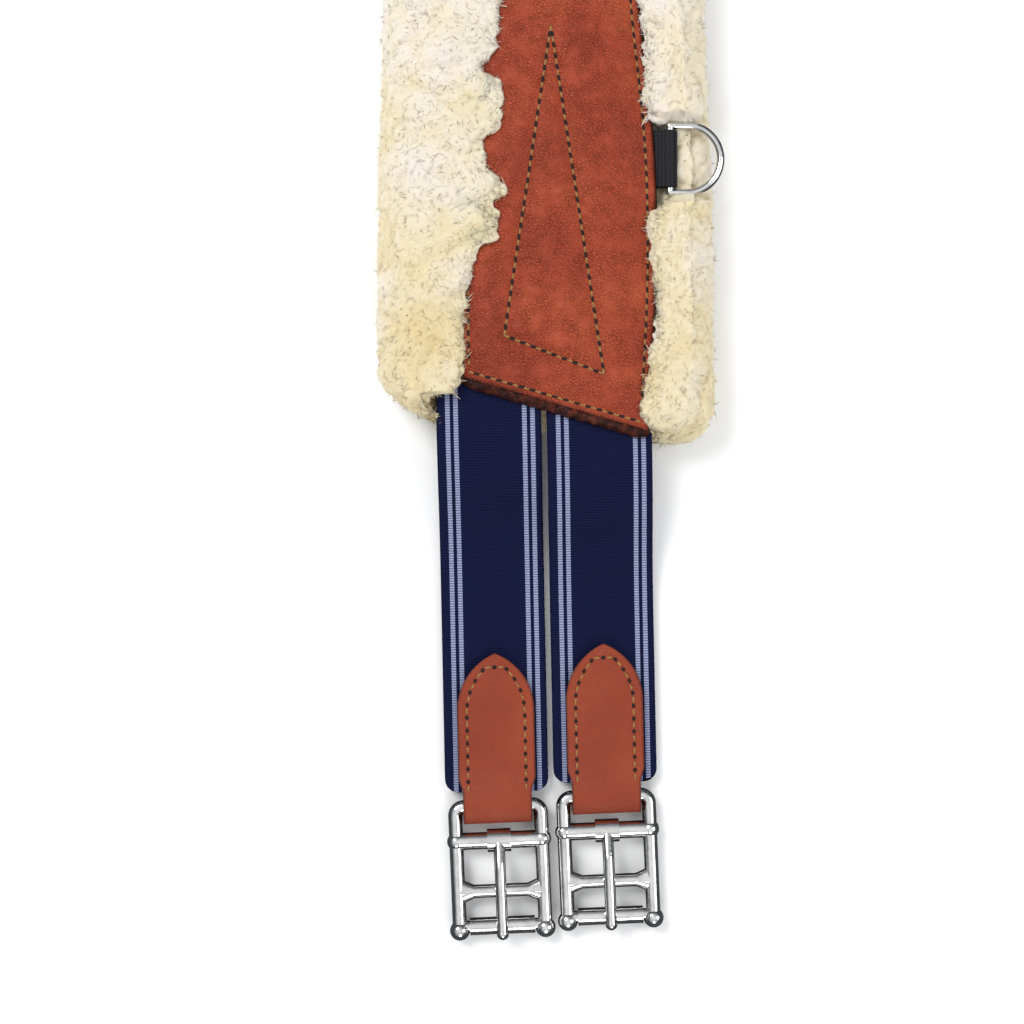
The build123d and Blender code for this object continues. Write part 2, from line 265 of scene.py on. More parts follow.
# %% Material helpers
def linear(hex_colour):
    """An sRGB hex colour as linear RGBA."""
    channels = [int(hex_colour[i : i + 2], 16) / 255 for i in (1, 3, 5)]
    return (*[c / 12.92 if c <= 0.04045 else ((c + 0.055) / 1.055) ** 2.4 for c in channels], 1.0)


def set_inputs(tree, node, inputs):
    """Gives a node its inputs. Each is a value, or another node's output to link."""
    for key, value in inputs.items():
        if isinstance(value, bpy.types.NodeSocket):
            tree.links.new(value, node.inputs[key])
        else:
            node.inputs[key].default_value = value


def add_node(tree, kind, inputs=None, out=0, stops=(), **settings):
    """Adds a shader node and returns one output. Stops are a colour ramp's (place, hex colour)."""
    new = tree.nodes.new("ShaderNode" + kind)
    for key, value in settings.items():
        setattr(new, key, value)
    set_inputs(tree, new, inputs or {})
    if stops:
        elements = new.color_ramp.elements
        while len(elements) < len(stops):
            elements.new(0.5)
        for element, (position, colour) in zip(elements, stops):
            element.position = position
            element.color = linear(colour)
    return new.outputs[out]


def new_material(name, **shader_values):
    """A material with a Principled shader. Returns it with its tree, shader and coordinates."""
    material = bpy.data.materials.new(name)
    material.use_nodes = True
    tree = material.node_tree
    shader = tree.nodes["Principled BSDF"]
    set_inputs(tree, shader, {key.replace("_", " "): value for key, value in shader_values.items()})
    return material, tree, shader, add_node(tree, "TexCoord", out="Object")

# %% [markdown]
# ### Leather
# Bridle leather is vegetable tanned, waxed and rubbed. It has a soft low gloss, and a colour that
# wanders between orange and red brown. Its grain is a net of fine creases round pebbles of about a
# millimetre: the distance to the edge of warped Voronoi cells draws such a net. The creases are also
# painted darker, which is painted shade; the same dark brown is the dye on the cut edges.

# %% Leather
GRAIN = 1.1 * MM  # one pebble of the grain
CREASE_WIDTH = 0.16  # of a pebble
PORE = 1.7 * MM
BLOTCH = 30 * MM  # one cloud of lighter or darker dye


def waxed_leather(name, dyes, edge_dye_and_crease_shade, crease_shade, relief):
    """Creased leather in three dyes. Its creases get painted shade as strong as the fourth argument,
    and are as deep as relief.
    """
    material, tree, shader, place = new_material(name, Roughness=0.42, Specular_IOR_Level=0.2)
    bend = add_node(
        tree, "TexNoise", {"Vector": place, "Scale": 1 / (3 * MM), "Detail": 2.0}, "Color"
    )
    shift = add_node(tree, "VectorMath", {0: bend, "Scale": 1.1 * MM}, operation="SCALE")
    warped = add_node(tree, "VectorMath", {0: place, 1: shift}, operation="ADD")
    stretched = add_node(
        tree, "Mapping", {"Vector": warped, "Rotation": (0, 0, 0.3), "Scale": (0.8, 1.3, 1.0)}
    )
    pebble = add_node(
        tree, "TexVoronoi", {"Vector": stretched, "Scale": 1 / GRAIN}, "Distance",
        feature="DISTANCE_TO_EDGE",
    )
    crease = add_node(
        tree, "MapRange", {"Value": pebble, "From Max": CREASE_WIDTH, "To Min": 1.0, "To Max": 0.0},
        interpolation_type="SMOOTHSTEP",
    )
    region = add_node(tree, "TexNoise", {"Vector": place, "Scale": 1 / (6 * MM), "Detail": 3.0})
    depth = add_node(tree, "MapRange", {"Value": region, "From Min": 0.2, "From Max": 0.62})
    crease = add_node(tree, "Math", {0: crease, 1: depth}, operation="MULTIPLY")
    cloud = add_node(tree, "TexNoise", {"Vector": place, "Scale": 1 / BLOTCH, "Detail": 5.0})
    colour = add_node(tree, "ValToRGB", {"Fac": cloud}, stops=tuple(zip((0.35, 0.5, 0.64), dyes)))
    worn = add_node(tree, "Attribute", out="Fac", attribute_name="edge")
    # painted shade: the grain's creases are mixed towards the dark edge brown
    crease_shading = add_node(tree, "Math", {0: crease, 1: crease_shade}, operation="MULTIPLY")
    for share in (crease_shading, worn):
        colour = add_node(
            tree, "Mix", {"Factor": share, "A": colour, "B": linear(edge_dye_and_crease_shade)}, "Result",
            data_type="RGBA",
        )
    pores = add_node(tree, "TexNoise", {"Vector": stretched, "Scale": 1 / PORE, "Detail": 3.0})
    raised = add_node(tree, "Math", {0: pores, 1: 1.6}, operation="MULTIPLY")
    height = add_node(tree, "Math", {0: crease, 1: -0.6, 2: raised}, operation="MULTIPLY_ADD")
    bump = add_node(tree, "Bump", {"Height": height, "Strength": relief, "Distance": 0.5 * MM})
    set_inputs(tree, shader, {"Base Color": colour, "Normal": bump})
    return material


# the dark brown is the dye on the cut edges and also the painted shade in the creases
panel_leather = waxed_leather(
    "waxed_bridle_leather", ("#923A24", "#9D4028", "#A94B2E"), "#260E08", crease_shade=0.34, relief=0.95
)
tab_leather = waxed_leather(
    "waxed_chape_leather", ("#83341F", "#893821", "#903F26"), "#35140C", crease_shade=0.12, relief=0.3
)
print("leather grain", GRAIN / MM, "mm")

# %% [markdown]
# ### Thread and needle holes
# Saddlers' thread is waxed and twisted, so a stitch shows as a small golden barrel with slanted
# strands. The awl's holes beside it are the darkest spots on the leather.

# %% Thread
THREAD_TWIST = 0.45 * MM


def waxed_thread():
    """Golden thread with slanted strands."""
    material, tree, shader, place = new_material("waxed_twisted_thread", Roughness=0.45)
    strands = add_node(
        tree, "TexWave", {"Vector": place, "Scale": 0.32 / THREAD_TWIST, "Distortion": 0.4}, "Fac",
        bands_direction="DIAGONAL",
    )
    golds = ((0.15, "#4E2C12"), (0.6, "#9A672F"), (0.9, "#B88447"))
    set_inputs(
        tree, shader, {"Base Color": add_node(tree, "ValToRGB", {"Fac": strands}, stops=golds)}
    )
    return material


def awl_hole():
    """The shadow in a needle hole."""
    material, tree, shader, place = new_material("awl_hole_shadow", Roughness=0.9)
    spots = add_node(tree, "TexNoise", {"Vector": place, "Scale": 1 / (0.8 * MM)})
    browns = ((0.3, "#140A05"), (0.7, "#241108"))
    set_inputs(
        tree, shader, {"Base Color": add_node(tree, "ValToRGB", {"Fac": spots}, stops=browns)}
    )
    return material


thread = waxed_thread()
hole = awl_hole()

# %% [markdown]
# ### Wool
# Combed sheepskin is cream. Light goes into it and comes out again close by, so it looks soft:
# subsurface scattering does that. Each lock of wool carries its own tone in an attribute, so that
# neighbours differ a little. The same attribute carries painted shade: the wool is coloured darker
# and yellower in the hollows between puffs and at the locks' roots, and paler on the puffs and tips.

# %% Wool
YELLOW_FROM = 0.24  # metres from the middle of the girth, where the wool starts to turn yellow
# the darker, yellower stops also serve as painted shade in hollows and at lock roots
CREAMS = ((0.26, "#D3BF90"), (0.4, "#D9CAA6"), (0.52, "#DCD2BD"), (0.66, "#DED6CF"))


def sheepskin_wool(name, subsurface):
    """Cream wool, yellower towards the ends; its tone attribute adds painted shade in hollows."""
    material, tree, shader, place = new_material(
        name, Roughness=0.95, Specular_IOR_Level=0.1, Subsurface_Weight=subsurface,
        Subsurface_Scale=0.0035, Subsurface_Radius=(1.0, 0.8, 0.55), Sheen_Weight=0.2,
        Sheen_Roughness=0.6,
    )
    patches = add_node(tree, "TexNoise", {"Vector": place, "Scale": 0.7 / (22 * MM), "Detail": 3.0})
    locks = add_node(tree, "Attribute", out="Fac", attribute_name="tone")
    tone = add_node(tree, "Mix", {"Factor": 0.4, "A": patches, "B": locks}, "Result")
    along = add_node(tree, "SeparateXYZ", {"Vector": place}, "Y")
    distance = add_node(tree, "Math", {0: along}, operation="ABSOLUTE")
    beyond = add_node(tree, "Math", {0: distance, 1: YELLOW_FROM}, operation="SUBTRACT")
    yellowed_and_shaded = add_node(tree, "Math", {0: beyond, 1: -1.1, 2: tone}, operation="MULTIPLY_ADD")
    colour = add_node(tree, "ValToRGB", {"Fac": yellowed_and_shaded}, stops=CREAMS)
    fuzz = add_node(tree, "TexNoise", {"Vector": place, "Scale": 1 / (1.1 * MM), "Detail": 4.0})
    bump = add_node(tree, "Bump", {"Height": fuzz, "Strength": 0.3, "Distance": 0.8 * MM})
    set_inputs(tree, shader, {"Base Color": colour, "Normal": bump})
    return material


wool = sheepskin_wool("combed_sheepskin_wool", subsurface=0.5)
# Light can't scatter inside the open cones that stand for the locks.
wool_fibre = sheepskin_wool("sheepskin_wool_fibres", subsurface=0.0)

# %% [markdown]
# ### Elastic and webbing
# Girth elastic is woven from covered rubber: navy, with fine ribs across it and two pairs of
# pale stripes. The pattern has to follow the strap round its bends, so it reads the strap's own
# UV map, which holds real metres: U is the distance from the middle line, V runs along the strap.

# %% Elastic
RIB = 0.95 * MM
PATTERN_SHIFT = 0.5 * MM  # the weave sits a little off the strap's middle
PAIR_MIDDLE = 14.1 * MM  # from the middle of the pattern to the middle of a pair of stripes
STRIPE_OFFSET = 1.5 * MM
STRIPE_HALF = 0.85 * MM
BAND = 0.314  # a wave texture's scale is this divided by the width of a band
NAVIES = ((0.1, "#060A26"), (0.55, "#0A1034"), (0.95, "#10183F"))
PALES = ((0.1, "#5C6382"), (0.5, "#838AA9"), (0.9, "#9CA2BE"))


def girth_elastic():
    """Navy ribs with pairs of pale stripes, along the strap's own UV map."""
    material, tree, shader, _ = new_material(
        "ribbed_girth_elastic", Roughness=0.8, Specular_IOR_Level=0.12
    )
    uv = add_node(tree, "UVMap", uv_map="strap")
    gap = add_node(tree, "SeparateXYZ", {"Vector": uv}, "X")
    for middle in (PATTERN_SHIFT, PAIR_MIDDLE, STRIPE_OFFSET):
        gap = add_node(tree, "Math", {0: gap, 1: middle}, operation="SUBTRACT")
        gap = add_node(tree, "Math", {0: gap}, operation="ABSOLUTE")
    stripe = add_node(tree, "Math", {0: gap, 1: STRIPE_HALF}, operation="LESS_THAN")
    ribs = add_node(
        tree, "TexWave",
        {"Vector": uv, "Scale": BAND / RIB, "Distortion": 1.2, "Detail": 2.0, "Detail Scale": 3.0},
        "Fac", bands_direction="Y",
    )
    warp = add_node(
        tree, "TexWave", {"Vector": uv, "Scale": BAND / (0.7 * MM), "Distortion": 0.6}, "Fac",
        bands_direction="X",
    )
    weave = add_node(tree, "Mix", {"Factor": 0.25, "A": ribs, "B": warp}, "Result")
    navy = add_node(tree, "ValToRGB", {"Fac": weave}, stops=NAVIES)
    pale = add_node(tree, "ValToRGB", {"Fac": ribs}, stops=PALES)
    colour = add_node(
        tree, "Mix", {"Factor": stripe, "A": navy, "B": pale}, "Result", data_type="RGBA"
    )
    raised = add_node(tree, "Math", {0: stripe, 1: 0.35, 2: weave}, operation="MULTIPLY_ADD")
    bump = add_node(tree, "Bump", {"Height": raised, "Strength": 0.7, "Distance": 0.35 * MM})
    set_inputs(tree, shader, {"Base Color": colour, "Normal": bump})
    return material


def nylon_webbing():
    """Black webbing, woven both ways."""
    material, tree, shader, place = new_material(
        "woven_nylon_webbing", Roughness=0.6, Specular_IOR_Level=0.3
    )
    warp, weft = (
        add_node(
            tree, "TexWave", {"Vector": place, "Scale": BAND / (pitch * MM), "Distortion": 0.8},
            "Fac", bands_direction=way,
        )
        for pitch, way in ((1.1, "Y"), (1.3, "X"))
    )
    weave = add_node(tree, "Math", {0: warp, 1: weft}, operation="MULTIPLY")
    blacks = ((0.0, "#0C0D10"), (0.5, "#17181C"), (1.0, "#25272D"))
    colour = add_node(tree, "ValToRGB", {"Fac": weave}, stops=blacks)
    bump = add_node(tree, "Bump", {"Height": weave, "Strength": 0.8, "Distance": 0.4 * MM})
    set_inputs(tree, shader, {"Base Color": colour, "Normal": bump})
    return material


elastic = girth_elastic()
webbing = nylon_webbing()
print("elastic ribs", RIB / MM, "mm")

# %% [markdown]
# ### Steel and foam
# The buckles are cast stainless steel, tumbled and polished: a bright metal whose surface is
# very slightly uneven, which breaks up its reflections. The foam pad is hidden inside.

# %% Steel and foam
def polished_steel():
    """Bright cast steel, a little uneven."""
    material, tree, shader, place = new_material(
        "polished_cast_stainless", Metallic=1.0, Roughness=0.13
    )
    smudge = add_node(tree, "TexNoise", {"Vector": place, "Scale": 1 / (7 * MM), "Detail": 4.0})
    greys = ((0.3, "#BFBFBD"), (0.7, "#DEDEDC"))
    colour = add_node(tree, "ValToRGB", {"Fac": smudge}, stops=greys)
    cast = add_node(tree, "TexNoise", {"Vector": place, "Scale": 1 / (3.5 * MM), "Detail": 2.0})
    bump = add_node(tree, "Bump", {"Height": cast, "Strength": 0.25, "Distance": 0.5 * MM})
    set_inputs(tree, shader, {"Base Color": colour, "Normal": bump})
    return material


def felted_foam():
    """Grey foam with small cells."""
    material, tree, shader, place = new_material("felted_foam", Roughness=0.95)
    cells = add_node(tree, "TexVoronoi", {"Vector": place, "Scale": 1 / (1.5 * MM)}, "Distance")
    greys = ((0.0, "#3A3A3C"), (0.8, "#56565A"))
    set_inputs(
        tree, shader, {"Base Color": add_node(tree, "ValToRGB", {"Fac": cells}, stops=greys)}
    )
    return material


steel = polished_steel()
foam = felted_foam()
for name, cad_node in nodes.items():
    if name.endswith(("dee_ring", "buckle_frame", "tongue", "roller")):
        cad_node.data.materials.clear()
        cad_node.data.materials.append(steel)

# %% [markdown]
# ## Leather panel
# The panel is a single cut, sewn down along its edges and along a long triangle, over foam. So
# its surface is pillowed: low at each line of stitching and high between. One height function
# says how high the leather stands anywhere, and the stitches and the wool use it too.

# %% Leather height
TRIANGLE = ((0.0, 212.0), (-17.0, 325.3), (19.4, 339.3))  # corners (x, distance from the middle)
SEAM_INSET = 3.7  # from the long sides
END_SEAM_INSET = 2.8
END_SQUARE = 0.96  # turns a distance along the girth into one square to the slanted end
PILLOW = 2.8  # how high the leather stands between seams
PILLOW_REACH = 7.5
GROOVE = 1.3  # how deep the triangle's stitching lies
GROOVE_WIDTH = 2.8
WANDER = 0.35  # slow unevenness of the surface
WANDER_SIZE = 24.0


def distance_to_lines(x, y, points):
    """Distance to a closed chain of lines."""
    best = np.full(np.shape(x), 1e9)
    for (ax, ay), (bx, by) in zip(points, points[1:] + points[:1]):
        t = ((x - ax) * (bx - ax) + (y - ay) * (by - ay)) / ((bx - ax) ** 2 + (by - ay) ** 2)
        t = np.clip(t, 0, 1)
        best = np.minimum(best, np.hypot(x - ax - t * (bx - ax), y - ay - t * (by - ay)))
    return best


def leather_height(x, y):
    """Height of the leather's surface at x, at distance y from the middle."""
    left = x - line_x(LEATHER_LEFT, y, SOFTEN) - SEAM_INSET
    right = line_x(LEATHER_RIGHT, y, SOFTEN) - x - SEAM_INSET
    end = (leather_end(x) - y - END_SEAM_INSET) * END_SQUARE
    inside = np.minimum(np.minimum(left, right), end)
    seam = np.clip(np.abs(inside), 0, 60)
    lip = 0.25 * np.minimum(seam, 1.5)  # the margin outside the seam
    pillow = np.where(inside > 0, PILLOW * (1 - np.exp(-seam / PILLOW_REACH)), lip)
    triangle = distance_to_lines(x, y, TRIANGLE)
    groove = GROOVE * np.exp(-((triangle / GROOVE_WIDTH) ** 2)) * np.clip(pillow, 0, 1)
    shape = np.broadcast(x, y).shape
    spots = np.stack(
        [np.broadcast_to(x, shape), np.broadcast_to(-y, shape), np.zeros(shape)], axis=-1
    )
    wander = fill_noise(spots.reshape(-1, 3), WANDER_SIZE, 2.0, 2).reshape(shape)
    return LEATHER_TOP + pillow - groove + WANDER * wander * np.clip(pillow, 0, 1)


# %% Leather panel
PANEL_ROWS = 380
PANEL_COLUMNS = 110
PANEL_EDGE = 2.2  # the last millimetres that roll down at the panel's edges
PANEL_ROLL = 2.4  # how far they roll down
PANEL_THICK = 2.2
END_LIP = 1.6  # the last millimetres at the slanted end


def panel_place(u, v):
    """The panel's cut: side edges roll down, and its slanted end is a thick burnished edge."""
    across = u * 2 - 1
    y = v * leather_end(across * 34)
    left, right = line_x(LEATHER_LEFT, y, SOFTEN), line_x(LEATHER_RIGHT, y, SOFTEN)
    x = left + (right - left) * u
    y = v * leather_end(x)
    z = leather_height(x, y)
    side = np.clip(1 - np.minimum(x - left, right - x) / PANEL_EDGE, 0, 1)
    z -= PANEL_ROLL * side**2
    past = np.clip((y - leather_end(x) + END_LIP) / END_LIP, 0, 1)
    y = y + 0.6 * past
    z -= 1.1 * past**2
    return np.stack([x, -y, z], axis=1)


def leather_panel(end):
    """The panel with its thickness, darkened where its cut edges are rubbed."""
    panel = grid_piece(f"{end}_panel_cover", PANEL_COLUMNS, PANEL_ROWS, panel_place)
    modify(panel, "SOLIDIFY", thickness=PANEL_THICK * MM, offset=-1.0)
    x, y, z = points_of(panel).T * ((1,), (-1,), (1,))
    left, right = x - line_x(LEATHER_LEFT, y, SOFTEN), line_x(LEATHER_RIGHT, y, SOFTEN) - x
    gap = np.minimum(leather_end(x) - y, np.minimum(left, right) + 0.6)
    low = np.clip((leather_height(x, y) - z - 0.5) / 0.8, 0, 1)
    near_edge = np.clip(1.3 - gap / 1.5, 0, 1)
    paint(panel.data, "edge", np.clip(near_edge * (0.55 + low), 0, 1))
    return finish_piece(panel, end, panel_leather)


def ride_body(piece):
    """Bakes a piece's placement into its points."""
    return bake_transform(piece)


for end in ("near", "far"):
    panel = leather_panel(end)
    ride_body(panel)
    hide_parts(f"{end}_leather_panel", "centre_leather_panel")

# %% [markdown]
# ## Burnished end binding
# Across the slanted end the layers are pressed together and their cut edge is rubbed dark. Seen
# from above it is a dark rounded band just beyond the last row of stitches.

# %% End binding
BINDING_WIDTH = 2.9
BINDING_FROM, BINDING_LENGTH = -33.0, 68.6  # in x
BINDING_Z, BINDING_RISE = 19.6, 2.3


def binding_place(u, v):
    """A half-round band along the leather's end: u round it, v along it."""
    x = BINDING_FROM + BINDING_LENGTH * v
    angle = pi * u
    taper = np.clip(np.minimum(v, 1 - v) * 22, 0, 1) ** 0.5
    out = leather_end(x) - 0.4 + (0.5 - 0.5 * np.cos(angle)) * BINDING_WIDTH * taper
    out += 0.25 * np.sin(x * 1.3) * (u > 0.5)
    z = BINDING_Z + BINDING_RISE * np.sin(angle) ** 0.8 * taper + 0.12 * np.sin(x * 2.1)
    return np.stack([x, -out, z], axis=1)


def end_binding(end):
    """The band as a thin shell, nearly black with rubbed wax."""
    band = grid_piece(f"{end}_end_binding", 12, 150, binding_place)
    modify(band, "SOLIDIFY", thickness=0.8 * MM, offset=-1.0)
    dark = 0.9 + 0.25 * fill_noise(points_of(band), 3.0, 5.0, 2)
    paint(band.data, "edge", np.clip(dark, 0, 1))
    face_outward()
    return finish_piece(band, end, panel_leather)


for end in ("near", "far"):
    band = end_binding(end)
    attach(band, f"{end}_body")

# %% [markdown]
# ## Core
# Under the leather lie the foam pad and the strength web. They show only at cut edges, so one
# slab stands for both, with its edges rounded.

# %% Core
CORE_LENGTH = 296.0
CORE_INSET = 2.5
CORE_Z = 17.6
CORE_THICK = 3.6


def core_place(u, v):
    """The middle of a slab between the hide and the leather: u across it, v along it."""
    y = v * CORE_LENGTH
    left = line_x(LEATHER_LEFT, y, SOFTEN) + CORE_INSET
    right = line_x(LEATHER_RIGHT, y, SOFTEN) - CORE_INSET
    x = left + (right - left) * u
    return np.stack([x, -y, np.full_like(x, CORE_Z)], axis=1)


for end in ("near", "far"):
    core = grid_piece(f"{end}_foam_core", 12, 60, core_place)
    modify(core, "SOLIDIFY", thickness=CORE_THICK * MM, offset=0.0)
    modify(core, "BEVEL", width=0.8 * MM, segments=2)
    finish_piece(core, end, foam)
    ride_body(core)
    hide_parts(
        f"{end}_foam_pad", f"{end}_strength_web", "centre_foam_pad", "centre_strength_web"
    )

# %% [markdown]
# ## Sheepskin
# The sheepskin is one hide, wool outwards, folded up on both sides so that its wool stands
# beside the leather and laps over the leather's edges. Its section is drawn as a ring of points
# at each distance along the girth, joined by a smooth closed curve, and lofted. The ring is
# then roughened by noise, coarse for the clumps and fine for the curls.

# %% Sheepskin section
RING_POINTS = 190
LOFT_ROWS = 400
RING_AT = 260.2  # distance of the ring from the middle
RING_DIP = 9.2  # how far the wool is pressed down beside it
WOOL_TOP = 26.6
LEFT_CORNER, RIGHT_CORNER = (338.0, 22.5, 26.0), (347.0, 13.5, 15.0)  # start, length and depth
SQUEEZE_FROM, SQUEEZE_Z = 346.0, 8.0  # the section closes to this height at the end


def smooth_ring(corners, count):
    """A closed Catmull-Rom curve through corners (points, rows, 2), as count points for each row."""
    total = len(corners)
    t = np.arange(count) / count * total
    whole = t.astype(int)
    f = (t - whole)[:, None, None]
    a, b, c, d = (corners[(whole + k) % total] for k in (-1, 0, 1, 2))
    return 0.5 * (
        2 * b + (c - a) * f + (2 * a - 5 * b + 4 * c - d) * f**2 + (3 * b - a - 3 * c + d) * f**3
    )


def wool_half(outer, inner, leather, y, hand, ring_dip):
    """Corners of one side of the section, from the underside up and over to the leather's edge."""
    out, tip, edge = outer * hand, inner * hand, leather * hand
    wall = np.where(tip > edge, tip + 2.0, edge + 0.8)
    top = WOOL_TOP - ring_dip
    on_leather = leather_height(inner, y)
    tip_z = np.where(tip < edge, on_leather + 1.5, np.minimum(top - 2.0, 22.5))
    under_z = np.where(tip < edge, on_leather + 0.35, np.minimum(top - 3.5, 20.5))
    middle = (out + tip) / 2
    corners = [
        (out - 16, 1.3),
        (out - 5, 2.4),
        (out - 0.9, 7.0),
        (out - 0.2, 13.5 - 0.2 * ring_dip),
        (out - 2.0, 20.0 - 0.6 * ring_dip),
        (out - 8.0, top - 1.4),
        (middle + 1.5, top + 0.4),
        (np.minimum(middle - 4, tip + 9.0), top),
        (tip + 3.5, np.maximum(top - 0.9, tip_z)),
        (tip + 0.4, tip_z + 0.4),
        (tip + 0.4, under_z),
        (wall, under_z - 0.3),
        (wall + 0.4, 18.0),
        (wall - 6.0, HIDE_TOP),
    ]
    return [np.stack([hand * x, z + 0 * y], axis=-1) for x, z in corners]


def corner_rounding(y, start, length, depth):
    """How far a corner's arc pulls the edge in at distance y."""
    f = np.clip((y - start) / length, 0, 1)
    return depth * (1 - np.sqrt(np.clip(1 - f**2, 0, 1)))


def wool_points(u, v):
    """The loft: u goes round the section, v along the girth."""
    rows = np.unique(np.round(v, 6))
    y = rows * BODY_END
    left = line_x(FLEECE_LEFT, y, SOFTEN) + corner_rounding(y, *LEFT_CORNER)
    right = line_x(FLEECE_RIGHT, y, 12) - corner_rounding(y, *RIGHT_CORNER)
    ragged = 1.3 * fill_noise(np.stack([0 * y, y, 0 * y], axis=1), 3.4, 21.0, 3)
    in_left = np.maximum(line_x(WOOL_LEFT, y, 1.0) + ragged - 1.2, left + 8)
    in_right = np.minimum(line_x(WOOL_RIGHT, y, 1.2) - ragged + 0.6, right - 7)
    dip = RING_DIP * np.clip(1.3 - np.abs((y - RING_AT) / 15.5) ** 4, 0, 1)
    left_part = wool_half(left, in_left, line_x(LEATHER_LEFT, y, SOFTEN), y, -1, 0 * y)
    right_part = wool_half(right, in_right, line_x(LEATHER_RIGHT, y, SOFTEN), y, 1, dip)
    # The ring of corners runs from inside left, down and round, to inside right.
    corners = np.array(left_part[::-1] + right_part)
    ring = smooth_ring(corners, RING_POINTS)
    last = np.clip((y - SQUEEZE_FROM) / (BODY_END - SQUEEZE_FROM), 0, 1)
    squeeze = np.sqrt(np.clip(1 - last**2.4, 0.004, 1))
    ring[..., 1] = SQUEEZE_Z + (ring[..., 1] - SQUEEZE_Z) * squeeze
    index = np.round(u * RING_POINTS).astype(int) % RING_POINTS
    row = np.searchsorted(rows, np.round(v, 6))
    x, z = ring[index, row, 0], ring[index, row, 1]
    skew = np.clip((y[row] - 300) / 60, 0, 1) ** 2
    out = y[row] + END_SKEW * x * skew
    return np.stack([x, -out, z], axis=1)


# %% Sheepskin body
def clumps(points, size, seed):
    """Rounded puffs with creases between them, from 0 in a crease to about 1."""
    return np.minimum(np.abs(fill_noise(points, size, seed, 2)) * 2.6, 1.0) ** 0.7


def roughen(points, normals, side):
    """Moves each point along its normal by millimetres of wool, in puffs of three sizes."""
    field = points * np.array((1.0, side, 1.0))
    rise = 1.5 * clumps(field, 19.0, 3) + 0.9 * clumps(field, 8.0, 7) + 0.45 * clumps(field, 3.2, 9)
    # the second result, how high each puff stands, becomes painted shade in the wool's colour
    return points + normals * (rise - 1.9)[:, None], np.clip(rise / 2.6, 0, 1)


def sheepskin(end):
    """The lofted skin, roughened into puffs, flat where it lies on the floor, and closed."""
    body = grid_piece(f"{end}_sheepskin", RING_POINTS, LOFT_ROWS, wool_points)
    merge_seam()
    body.data.update()
    normals = read(body.data.vertices, "normal", 3)
    points = points_of(body)
    if np.sum(normals * (points - (0, -BODY_END / 2, 10))) < 0:
        normals = -normals  # the loft runs the other way round
    rough, height = roughen(points, normals, 1 if end == "near" else -1)
    rough[:, 2] = np.maximum(rough[:, 2], 0.3)
    put_points(body, rough)
    # painted shade: the wool is coloured darker and yellower where the puffs are low
    paint(body.data, "tone", 0.3 + 0.3 * height)
    cap_ends(body)
    return body


# %% [markdown]
# ### Locks of wool
# What makes wool look like wool is its locks: short tapered curls that lean on each other. One
# lock is modelled as a bent cone with few faces, and thousands of copies are set on the skin,
# each with its own lean, length, twist and tone. Where the wool laps over the leather they lean
# outwards, which gives the ragged edge.

# %% One lock
LOCK_SIDES = 3
LOCK_STEPS = 2


def take_form(model):
    """The points and faces of a model that is only a pattern for copies. The model goes."""
    form = read(model.data.vertices, "co", 3), [list(face.vertices) for face in model.data.polygons]
    bpy.data.objects.remove(model)
    return form


def lock_template():
    """A cone of unit height, cut in steps. Returns its points and faces."""
    deselect()
    bpy.ops.mesh.primitive_cone_add(
        vertices=LOCK_SIDES, radius1=1, radius2=0.12, depth=1, end_fill_type="NOTHING"
    )
    lock = bpy.context.object

    def cut(height):
        bpy.ops.mesh.select_all(action="SELECT")
        bpy.ops.mesh.bisect(plane_co=(0, 0, height), plane_no=(0, 0, 1))

    edit(*[lambda h=h: cut(h) for h in np.linspace(-0.5, 0.5, LOCK_STEPS + 1)[1:-1]])
    points, faces = take_form(lock)
    return points + (0, 0, 0.5), faces


LOCK_POINTS, LOCK_FACES = lock_template()
print("one lock:", len(LOCK_POINTS), "points,", len(LOCK_FACES), "faces")

# %% Many locks
def copies(name, points, faces, tones_and_root_shade=None, uses=None):
    """One mesh from many copies: points is (copies, points, 3) in millimetres."""
    count, size = points.shape[:2]
    mesh = bpy.data.meshes.new(name)
    lengths = np.array([len(f) for f in faces])
    flat = np.concatenate([np.array(f) for f in faces])
    all_faces = (flat[None, :] + (np.arange(count) * size)[:, None]).ravel()
    mesh.vertices.add(count * size)
    mesh.loops.add(count * len(flat))
    mesh.polygons.add(count * len(faces))
    mesh.vertices.foreach_set("co", (points * MM).ravel())
    mesh.loops.foreach_set("vertex_index", all_faces)
    starts = np.concatenate([[0], np.cumsum(np.tile(lengths, count))[:-1]])
    mesh.polygons.foreach_set("loop_start", starts)
    if tones_and_root_shade is not None:
        paint(mesh, "tone", tones_and_root_shade)
    if uses is not None:
        mesh.polygons.foreach_set("material_index", np.repeat(uses, len(faces)))
    mesh.update(calc_edges=True)
    mesh.validate()
    piece = bpy.data.objects.new(name, mesh)
    scene.collection.objects.link(piece)
    return piece


def unit(vectors):
    """Vectors at length 1."""
    return vectors / np.maximum(np.linalg.norm(vectors, axis=-1, keepdims=True), 1e-9)


def turned(x, y, angle):
    """Plane points turned about the origin."""
    return x * np.cos(angle) - y * np.sin(angle), x * np.sin(angle) + y * np.cos(angle)


def skin_samples(body, count, draws, wanted):
    """Random spots on a mesh and their normals, as dense as area times wanted(points, normals)."""
    mesh = body.data
    mesh.calc_loop_triangles()
    triangles = points_of(body)[read(mesh.loop_triangles, "vertices", 3, int)]
    cross = np.cross(triangles[:, 1] - triangles[:, 0], triangles[:, 2] - triangles[:, 0])
    area = np.linalg.norm(cross, axis=1) / 2
    middle = triangles.mean(axis=1)
    weight = area * wanted(middle, unit(cross))
    chosen = draws.choice(len(area), count, p=weight / weight.sum())
    a, b = draws.random((2, count, 1))
    flip = a + b > 1
    a, b = np.where(flip, 1 - a, a), np.where(flip, 1 - b, b)
    corner = triangles[chosen]
    spots = corner[:, 0] + a * (corner[:, 1] - corner[:, 0]) + b * (corner[:, 2] - corner[:, 0])
    return spots, unit(cross[chosen])


